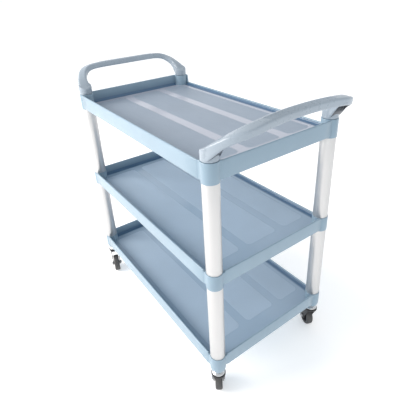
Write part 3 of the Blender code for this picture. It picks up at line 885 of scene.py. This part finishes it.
class TROLLEY_OT_legs(Operator):
    """Cuts the eight leg tubes to length and seats them between the trays' collars"""

    bl_idname = "trolley.legs"
    bl_label = "Leg tubes"

    def execute(self, context):
        sizes = context.scene.trolley_tubes
        for level in ("upper", "lower"):
            for corner, (side_x, side_y) in CORNERS.items():
                node = f"leg_{level}_{corner}"
                low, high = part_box(node)
                radius = (high.x - low.x) / 2
                profile = [
                    (radius - sizes.wall, high.z),
                    (radius, high.z),
                    (radius, low.z + (high.z - low.z) * 0.66),
                    (radius, low.z + (high.z - low.z) * 0.33),
                    (radius, low.z),
                    (radius - sizes.wall, low.z),
                ]
                bm = bmesh.new()
                place = Matrix.Translation((side_x * LEG_X, side_y * LEG_Y, 0.0))
                lathe(bm, soften(profile, 0.0005, closed=True, steps=2), place, sizes.steps, closed=True)
                materials = [anodised_tube()]
                finish_piece(
                    f"tube_{level}_{corner}", bm, "chassis", materials, (node,)
                )
        return {"FINISHED"}


# Handles

HANDLE_TILT = 0.133
# How far out and how high the limb's guide point lies, then how far out, in and high the shoulder's.
LIMB_OUT, LIMB_HEIGHT = 0.060, 0.0836
SHOULDER_OUT, SHOULDER_IN, SHOULDER_HEIGHT = 0.112, 0.063, 0.083
# The hollow starts at this share along the band and deepens fully over the ramp's share.
HOLLOW_START = 0.055
HOLLOW_RAMP = 0.03
BAND_ROUNDNESS = 5.0
OUTER_POINTS = 36
INNER_POINTS = 18


def handle_point(share_along, sizes):
    """The band's middle line above the rim, from the -Y foot at 0 to the +Y foot at 1."""
    side = -1.0 if share_along <= 0.5 else 1.0
    t = 2 * share_along if share_along <= 0.5 else 2 - 2 * share_along
    points = [
        Vector((LEG_X, side * LEG_Y, sizes.start)),
        Vector((LEG_X + LIMB_OUT, side * LEG_Y, LIMB_HEIGHT)),
        Vector((LEG_X + SHOULDER_OUT, side * (LEG_Y - SHOULDER_IN), SHOULDER_HEIGHT)),
        Vector((LEG_X + sizes.reach, side * sizes.half_bar, sizes.height)),
        Vector((LEG_X + sizes.reach, 0.0, sizes.height)),
    ]
    while len(points) > 1:
        points = [a.lerp(b, t) for a, b in zip(points, points[1:])]
    return points[0]


def handle_frame(share_along, sizes):
    """(middle, across, outward) of the band, whose hollow side looks down all along."""
    low = max(0.0, share_along - 0.002)
    high = min(1.0, share_along + 0.002)
    tangent = (handle_point(high, sizes) - handle_point(low, sizes)).normalized()
    upright = Vector((math.sin(HANDLE_TILT), 0.0, math.cos(HANDLE_TILT)))
    outward = (upright - tangent * upright.dot(tangent)).normalized()
    return handle_point(share_along, sizes), tangent.cross(outward), outward


def band_size(middle, sizes):
    """(width, thickness) of the band, which grows towards its feet."""
    ends = (handle_point(0.0, sizes), handle_point(1.0, sizes))
    near = min(1.0, min((middle - end).length for end in ends) / sizes.blend)
    eased = near * near * (3 - 2 * near)
    width = sizes.foot_width + (sizes.width - sizes.foot_width) * eased
    thickness = sizes.foot_thickness + (sizes.thickness - sizes.foot_thickness) * eased
    return width, thickness


def band_section(share_along, sizes):
    """The band's closed outline: round the outside, then back through the hollow on its underside."""
    middle, across, outward = handle_frame(share_along, sizes)
    width, thickness = band_size(middle, sizes)
    from_end = min(share_along, 1 - share_along)
    hollow = min(1.0, max(0.0, (from_end - HOLLOW_START) / HOLLOW_RAMP))
    hollow = hollow * hollow * (3 - 2 * hollow)
    first = math.radians(-50)
    flat = []
    for step in range(OUTER_POINTS + 1):
        turn = first + (math.pi - 2 * first) * step / OUTER_POINTS
        c = math.cos(turn)
        s = math.sin(turn)
        reach = (abs(c) ** BAND_ROUNDNESS + abs(s) ** BAND_ROUNDNESS) ** (-1 / BAND_ROUNDNESS)
        flat.append((width / 2 * c * reach, thickness / 2 * s * reach))
    lip = flat[0][1]
    half = width / 2 - sizes.skin
    rise = (thickness / 2 - sizes.skin - lip) * hollow
    for step in range(INNER_POINTS + 1):
        turn = math.pi * step / INNER_POINTS
        c = -math.cos(turn)
        s = math.sin(turn)
        reach = (abs(c) ** BAND_ROUNDNESS + s**BAND_ROUNDNESS) ** (-1 / BAND_ROUNDNESS)
        flat.append((half * c * reach * 0.98, lip + rise * s * reach + 0.00001))
    return [middle + across * a + outward * b for a, b in flat]


def handle_placements():
    """The front handle's place and the rear one's, which is turned half round."""
    rim = bpy.context.scene.trolley_trays.rim_top
    lift = Matrix.Translation((0.0, 0.0, rim))
    return {"front": lift, "rear": lift @ Matrix.Rotation(math.pi, 4, "Z")}


class TROLLEY_OT_handles(Operator):
    """Moulds the two loop handles, hollow on their underside, each on two round feet"""

    bl_idname = "trolley.handles"
    bl_label = "Handles"

    def execute(self, context):
        sizes = context.scene.trolley_handles
        stations = 150
        for end, place in handle_placements().items():
            bm = bmesh.new()
            depth = bm.verts.layers.float.new("depth")
            rings = []
            for step in range(stations + 1):
                section = band_section(step / stations, sizes)
                rings.append([place @ point for point in section])
            floor = (place @ Vector((0.0, 0.0, 0.0006))).z
            for ring_points in rings:
                for point in ring_points:
                    point.z = max(point.z, floor)
            made = skin_rings(bm, rings, capped=True)
            # Painted shade: the depth attribute marks the hollow's inner faces, which take the dark hollow
            # colour.
            for ring in made:
                for vertex in ring[OUTER_POINTS + 1 : -1]:
                    vertex[depth] = 1.0
            bmesh.ops.recalc_face_normals(bm, faces=bm.faces)
            for side in (-1, 1):
                foot = bmesh.new()
                profile = rod_profile(sizes.foot_radius, sizes.foot_height, 0.0004)
                lathe(foot, soften(profile, 0.003, steps=5), Matrix.Identity(4), 72)
                for vertex in foot.verts:
                    if vertex.co.z > sizes.foot_height / 2:
                        vertex.co.z += sizes.foot_lean * vertex.co.x
                bmesh.ops.recalc_face_normals(foot, faces=foot.faces)
                stand = place @ Matrix.Translation((LEG_X, side * LEG_Y, 0.0))
                bmesh.ops.transform(foot, matrix=stand, verts=foot.verts)
                merge_into(bm, foot)
            materials = [handle_plastic()]
            nodes = (f"handle_{end}",)
            finish_piece(
                f"{end}_handle", bm, "chassis", materials, nodes, recalculate=False
            )
        return {"FINISHED"}


class TROLLEY_OT_handle_ribs(Operator):
    """Sets the cross ribs inside the handles' hollow and the fine slanted ribs on their grips"""

    bl_idname = "trolley.handle_ribs"
    bl_label = "Handle ribs"

    def execute(self, context):
        sizes = context.scene.trolley_handles
        shares = [step / 240 for step in range(241)]
        hollow = [value for value in shares if 0.13 <= value <= 0.87]
        grip = [value for value in shares if abs(handle_point(value, sizes).y) <= sizes.grip_half]
        grip = [value for value in grip if 0.3 < value < 0.7]
        depth = sizes.thickness - sizes.skin - 0.0012
        cross = {
            "Count": sizes.ribs,
            "Bar Size": (0.0018, sizes.width - 2 * sizes.skin + 0.0012, depth),
            "Lift": -(sizes.thickness - depth) / 2 + 0.0016,
        }
        fine = {
            "Count": sizes.grip_ribs,
            "Bar Size": (0.0013, sizes.width * 0.66, 0.0016),
            "Lift": sizes.thickness / 2 - 0.0002,
            "Slant": math.radians(32),
        }
        for name, chosen, settings in (("cross_ribs", hollow, cross), ("grip_ribs", grip, fine)):
            guides = []
            for place in handle_placements().values():
                frames = [handle_frame(value, sizes) for value in chosen]
                turn = place.to_3x3()
                line = [place @ middle for middle, _, _ in frames]
                guides.append((line, [turn @ outward for _, _, outward in frames], False))
            settings["Finish"] = handle_plastic()
            mesh = ribs_along(name, guides, settings)
            attach(name, mesh, "chassis", [handle_plastic()])
        return {"FINISHED"}


# Casters


SOCKET_TOP = 0.172
SOCKET_SEAT = 0.1267
SOCKET_FLANGE = SOCKET_SEAT - 0.0022


class TROLLEY_OT_stems(Operator):
    """Turns the caster stems with their race discs, and the plastic sockets that hold them"""

    bl_idname = "trolley.stems"
    bl_label = "Stems and sockets"

    def execute(self, context):
        for corner in CORNERS:
            place = caster_place(corner)
            low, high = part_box(f"stem_{corner}")
            stem = [
                (0.0, high.z),
                (0.006, high.z),
                (0.006, SOCKET_FLANGE - 0.0003),
                (0.0105, SOCKET_FLANGE - 0.0003),
                (0.0105, 0.1200),
                (0.0125, 0.1172),
                (0.0170, 0.1146),
                (0.0195, 0.1128),
                (0.0213, 0.1120),
                (0.0215, 0.1096),
                (0.005, 0.1096),
                (0.005, low.z),
                (0.0, low.z),
            ]
            bm = bmesh.new()
            lathe(bm, soften(stem, 0.0008, steps=3), place, 64)
            materials = [bright_zinc()]
            finish_piece(
                f"caster_stem_{corner}", bm, "chassis", materials, (f"stem_{corner}",)
            )
            socket = [
                (0.0167, SOCKET_TOP),
                (0.0167, SOCKET_SEAT),
                (0.0193, SOCKET_SEAT),
                (0.0187, SOCKET_FLANGE),
                (0.0063, SOCKET_FLANGE),
                (0.0063, SOCKET_TOP),
            ]
            bm = bmesh.new()
            lathe(bm, soften(socket, 0.0005, closed=True, steps=2), place, 64, closed=True)
            finish_piece(
                f"caster_socket_{corner}",
                bm,
                "chassis",
                [socket_plastic()],
                (f"stem_socket_{corner}",),
            )
        return {"FINISHED"}


def cheek_outline(sizes):
    """The cheek seen from the side, in the caster's frame, as (forward, height) points."""
    top = sizes.fork_top - sizes.bridge / 2
    web = [(-0.0175, top), (-0.016, sizes.fork_top), (0.0215, sizes.fork_top), (0.0235, top)]
    points = soften(web, 0.0035, steps=4)
    centre = Vector((sizes.trail, WHEEL_HEIGHT))
    boss = []
    for step in range(25):
        turn = math.radians(35 - 190 * step / 24)
        boss.append(tuple(centre + Vector((math.cos(turn), math.sin(turn))) * sizes.boss))
    return points + boss


class TROLLEY_OT_forks(Operator):
    """Builds the black forks, each a crown and bridge over two cheeks"""

    bl_idname = "trolley.forks"
    bl_label = "Forks"

    def execute(self, context):
        sizes = context.scene.trolley_casters
        outer = sizes.inside + sizes.cheek
        low = sizes.fork_top - sizes.bridge
        for corner in CORNERS:
            place = caster_place(corner)
            bm = bmesh.new()
            upright = place @ Matrix.Rotation(math.pi / 2, 4, "X")
            for side in (-1, 1):
                near = side * sizes.inside
                far = side * outer
                plate(bm, cheek_outline(sizes), min(near, far), max(near, far), upright, 0.0008)
            block = [(-0.0165, -outer), (0.0225, -outer), (0.0225, outer), (-0.0165, outer)]
            bridge_outline = soften(block, 0.004, closed=True, steps=5)
            plate(bm, bridge_outline, low, sizes.fork_top, place, 0.0012)
            crown = [
                (0.0056, sizes.fork_top),
                (sizes.crown, sizes.fork_top),
                (sizes.crown, low),
                (0.0056, low),
            ]
            crowned = bmesh.new()
            lathe(crowned, soften(crown, 0.0016, closed=True, steps=4), place, 64, closed=True)
            bmesh.ops.recalc_face_normals(crowned, faces=crowned.faces)
            merge_into(bm, crowned)
            finish_piece(
                f"caster_fork_{corner}",
                bm,
                f"swivel_{corner}",
                [fork_black()],
                (f"fork_{corner}",),
                recalculate=False,
            )
        return {"FINISHED"}


def hexagon(across):
    return [(across * math.cos(math.pi / 3 * i), across * math.sin(math.pi / 3 * i)) for i in range(6)]


def washer(bm, top, bottom, place):
    lathe(bm, soften(rod_profile(0.0076, top, bottom), 0.0003), place, 48)


class TROLLEY_OT_axles(Operator):
    """Fits the axle bolt and nut of each caster, with a domed washer under each"""

    bl_idname = "trolley.axles"
    bl_label = "Axles"

    def execute(self, context):
        sizes = context.scene.trolley_casters
        outer = sizes.inside + sizes.cheek
        for corner in CORNERS:
            place = axle_place(corner)
            bm = bmesh.new()
            plate(bm, hexagon(0.0070), outer + 0.0011, outer + 0.0044, place, 0.0005)
            washer(bm, outer + 0.0012, outer + 0.0004, place)
            pin = rod_profile(0.004, outer + 0.001, -outer - 0.0070)
            lathe(bm, soften(pin, 0.0007), place, 32)
            body = f"swivel_{corner}"
            steel = [plain_steel()]
            finish_piece(f"caster_bolt_{corner}", bm, body, steel, (f"axle_bolt_{corner}",))
            bm = bmesh.new()
            plate(bm, hexagon(0.0073), -outer - 0.0056, -outer - 0.0012, place, 0.0006)
            washer(bm, -outer - 0.0004, -outer - 0.0013, place)
            finish_piece(f"caster_nut_{corner}", bm, body, steel, (f"axle_nut_{corner}",))
        return {"FINISHED"}


class TROLLEY_OT_wheels(Operator):
    """Turns the tyres and hubs of the four casters and ribs the hubs"""

    bl_idname = "trolley.wheels"
    bl_label = "Wheels"

    def execute(self, context):
        sizes = context.scene.trolley_casters
        half = sizes.tyre_width / 2
        tread = []
        for step in range(17):
            across = half - 0.0005 - (2 * half - 0.001) * step / 16
            drop = 0.0036 * (abs(across) / half) ** 5 + 0.0004 * (across / half) ** 2
            seam = 0.00018 if step == 8 else 0.0
            tread.append((sizes.wheel - 0.0002 - drop + seam, across))
        tyre = [(sizes.tyre_bore, half - 0.0004), (sizes.wheel - 0.0058, half)] + tread
        tyre += [(sizes.wheel - 0.0058, -half), (sizes.tyre_bore, -half + 0.0004)]
        rim = sizes.tyre_bore - 0.0003
        hub_half = sizes.hub_width / 2
        web = 0.003
        hub = [
            (rim, hub_half),
            (rim, -hub_half),
            (rim - 0.0025, -hub_half),
            (rim - 0.0036, -web),
            (0.012, -web),
            (0.0105, -hub_half - 0.0015),
            (0.0068, -hub_half - 0.0015),
            (0.0068, hub_half + 0.0015),
            (0.0105, hub_half + 0.0015),
            (0.012, web),
            (rim - 0.0036, web),
            (rim - 0.0025, hub_half),
        ]
        for corner in CORNERS:
            place = axle_place(corner)
            body = f"wheel_{corner}"
            bm = bmesh.new()
            lathe(bm, tyre, place, 112, closed=True)
            rubber = [tyre_rubber()]
            finish_piece(f"wheel_tyre_{corner}", bm, body, rubber, (f"tyre_{corner}",))
            bm = bmesh.new()
            lathe(bm, soften(hub, 0.0007, closed=True, steps=3), place, 96, closed=True)
            finish_piece(f"wheel_hub_{corner}", bm, body, [hub_nylon()], (f"hub_{corner}",))
            middle = (0.0115 + rim - 0.003) / 2
            turns = [math.tau * step / 96 for step in range(96)]
            turned_out = place.to_3x3()
            rays = [Vector((math.cos(a), math.sin(a), 0.0)) for a in turns]
            guide = ([place @ (ray * middle) for ray in rays], [turned_out @ ray for ray in rays], True)
            settings = {
                "Count": sizes.hub_ribs,
                "Bar Size": (0.0018, 2 * hub_half - 0.004, rim - 0.003 - 0.0115 + 0.001),
                "Finish": hub_nylon(),
            }
            mesh = ribs_along(f"hub_ribs_{corner}", [guide], settings)
            attach(f"hub_ribs_{corner}", mesh, body, [hub_nylon()])
        return {"FINISHED"}


class TROLLEY_OT_small_parts(Operator):
    """Gives the races, king nuts and axle sleeves that the frame already holds their finish"""

    bl_idname = "trolley.small_parts"
    bl_label = "Small parts"

    def execute(self, context):
        for name, node in frame["nodes"].items():
            if name.startswith(("swivel_race", "king_nut", "axle_sleeve")):
                node.data.materials.clear()
                node.data.materials.append(plain_steel())
        return {"FINISHED"}


# Studio


def lamp(name, place, target, size, power, tint=(1.0, 1.0, 1.0)):
    data = bpy.data.lights.new(name, "AREA")
    data.shape = "RECTANGLE"
    data.size, data.size_y = size
    data.energy = power
    data.color = tint
    made = bpy.data.objects.new(name, data)
    made.location = place
    made.rotation_euler = (Vector(target) - Vector(place)).to_track_quat("-Z", "Y").to_euler()
    bpy.context.scene.collection.objects.link(made)


def sky_light(scene):
    """A soft white surround, brightest low down on the -Y side and dimmer overhead."""
    world = bpy.data.worlds.new("studio")
    scene.world = world
    world.use_nodes = True
    tree = world.node_tree
    background = tree.nodes["Background"]
    toward = tree.nodes.new("ShaderNodeTexCoord").outputs["Generated"]
    lean = tree.nodes.new("ShaderNodeVectorMath")
    lean.operation = "DOT_PRODUCT"
    lean.inputs[1].default_value = Vector((-0.45, -0.90, 0.0)).normalized()
    tree.links.new(toward, lean.inputs[0])
    height = tree.nodes.new("ShaderNodeSeparateXYZ")
    tree.links.new(toward, height.inputs[0])
    parts = []
    for value, low, high in ((lean.outputs["Value"], 0.78, 1.22), (height.outputs["Z"], 1.38, 0.45)):
        level = tree.nodes.new("ShaderNodeMapRange")
        level.inputs["From Min"].default_value = -1.0 if low < high else 0.0
        level.inputs["To Min"].default_value = low
        level.inputs["To Max"].default_value = high
        tree.links.new(value, level.inputs["Value"])
        parts.append(level.outputs["Result"])
    strength = tree.nodes.new("ShaderNodeMath")
    strength.operation = "MULTIPLY"
    for socket, part in zip(strength.inputs, parts):
        tree.links.new(part, socket)
    tree.links.new(strength.outputs[0], background.inputs["Strength"])
    background.inputs["Color"].default_value = (0.94, 0.97, 1.0, 1.0)


CAMERA_RIGHT = (0.5781, 0.8145, -0.0495)
CAMERA_BACK = (0.7465, -0.5033, 0.4353)
CAMERA_SHIFT = (0.0250, -0.1077)


class TROLLEY_OT_stage(Operator):
    """Lays the pale floor, hangs the soft lights and sets up the camera"""

    bl_idname = "trolley.stage"
    bl_label = "Studio"

    def execute(self, context):
        scene = context.scene
        studio = scene.trolley_studio
        half = studio.floor_size / 2
        mesh = bpy.data.meshes.new("studio_floor")
        square = [(-half, -half, 0), (half, -half, 0), (half, half, 0), (-half, half, 0)]
        mesh.from_pydata(square, [], [(0, 1, 2, 3)])
        finish = Finish("studio_floor")
        finish.color(finish.toned(tuple(studio.floor_color), finish.noise(1.5, 2.0), 0.995, 1.005))
        finish.rough(finish.spread(finish.noise(3.0, 2.0), 0.3, 0.7, 0.85, 0.95))
        finish.set(
            Emission_Color=(1.0, 1.0, 1.0, 1.0),
            Emission_Strength=studio.floor_glow,
            Specular_IOR_Level=0.2,
        )
        mesh.materials.append(finish.material)
        floor = bpy.data.objects.new("studio_floor", mesh)
        scene.collection.objects.link(floor)

        sky_light(scene)
        lamp("key", (-1.5, -3.0, 2.2), (0.0, 0.0, 0.45), (2.4, 1.6), 125.0, (1.0, 0.93, 0.87))
        lamp("overhead", (0.4, 0.4, 3.6), (0.0, 0.0, 0.5), (3.0, 2.4), 10.0)

        scene.view_settings.view_transform = "Standard"
        scene.view_settings.look = "None"
        camera_data = bpy.data.cameras.new("camera")
        camera_data.sensor_width = 36.0
        camera_data.lens = studio.lens
        camera_data.shift_x, camera_data.shift_y = CAMERA_SHIFT
        camera_data.clip_start = 0.05
        camera_data.clip_end = 300.0
        camera = bpy.data.objects.new("camera", camera_data)
        right = Vector(CAMERA_RIGHT).normalized()
        back = Vector(CAMERA_BACK).normalized()
        up = back.cross(right).normalized()
        right = up.cross(back)
        turn = Matrix((right, up, back)).transposed().to_4x4()
        camera.matrix_world = Matrix.Translation(studio.camera_place) @ turn
        scene.collection.objects.link(camera)
        scene.camera = camera
        return {"FINISHED"}


# Panel and registration

OPERATORS = (
    TROLLEY_OT_trays,
    TROLLEY_OT_legs,
    TROLLEY_OT_handles,
    TROLLEY_OT_handle_ribs,
    TROLLEY_OT_stems,
    TROLLEY_OT_forks,
    TROLLEY_OT_axles,
    TROLLEY_OT_wheels,
    TROLLEY_OT_small_parts,
    TROLLEY_OT_stage,
)


class TROLLEY_PT_build(Panel):
    """Lists the trolley's pieces and their settings"""

    bl_label = "Food service trolley"
    bl_space_type = "VIEW_3D"
    bl_region_type = "UI"
    bl_category = "Trolley"

    def draw(self, context):
        layout = self.layout
        for operator in OPERATORS:
            layout.operator(operator.bl_idname)
        for name, group in SETTINGS.items():
            box = layout.box()
            box.label(text=group.__name__)
            for key in group.__annotations__:
                box.prop(getattr(context.scene, name), key)


SETTINGS = {
    "trolley_trays": TraySizes,
    "trolley_floor": FloorPattern,
    "trolley_tubes": TubeSizes,
    "trolley_handles": HandleSizes,
    "trolley_casters": CasterSizes,
    "trolley_finishes": Finishes,
    "trolley_studio": StudioSettings,
}


def register():
    for cls in (*SETTINGS.values(), *OPERATORS, TROLLEY_PT_build):
        bpy.utils.register_class(cls)
    for name, group in SETTINGS.items():
        setattr(bpy.types.Scene, name, PointerProperty(type=group))


def unregister():
    for name in SETTINGS:
        delattr(bpy.types.Scene, name)
    for cls in reversed((*SETTINGS.values(), *OPERATORS, TROLLEY_PT_build)):
        bpy.utils.unregister_class(cls)


def main():
    register()
    for operator in OPERATORS:
        group, name = operator.bl_idname.split(".")
        getattr(getattr(bpy.ops, group), name)()
    bpy.context.view_layer.update()


if __name__ == "__main__":
    main()
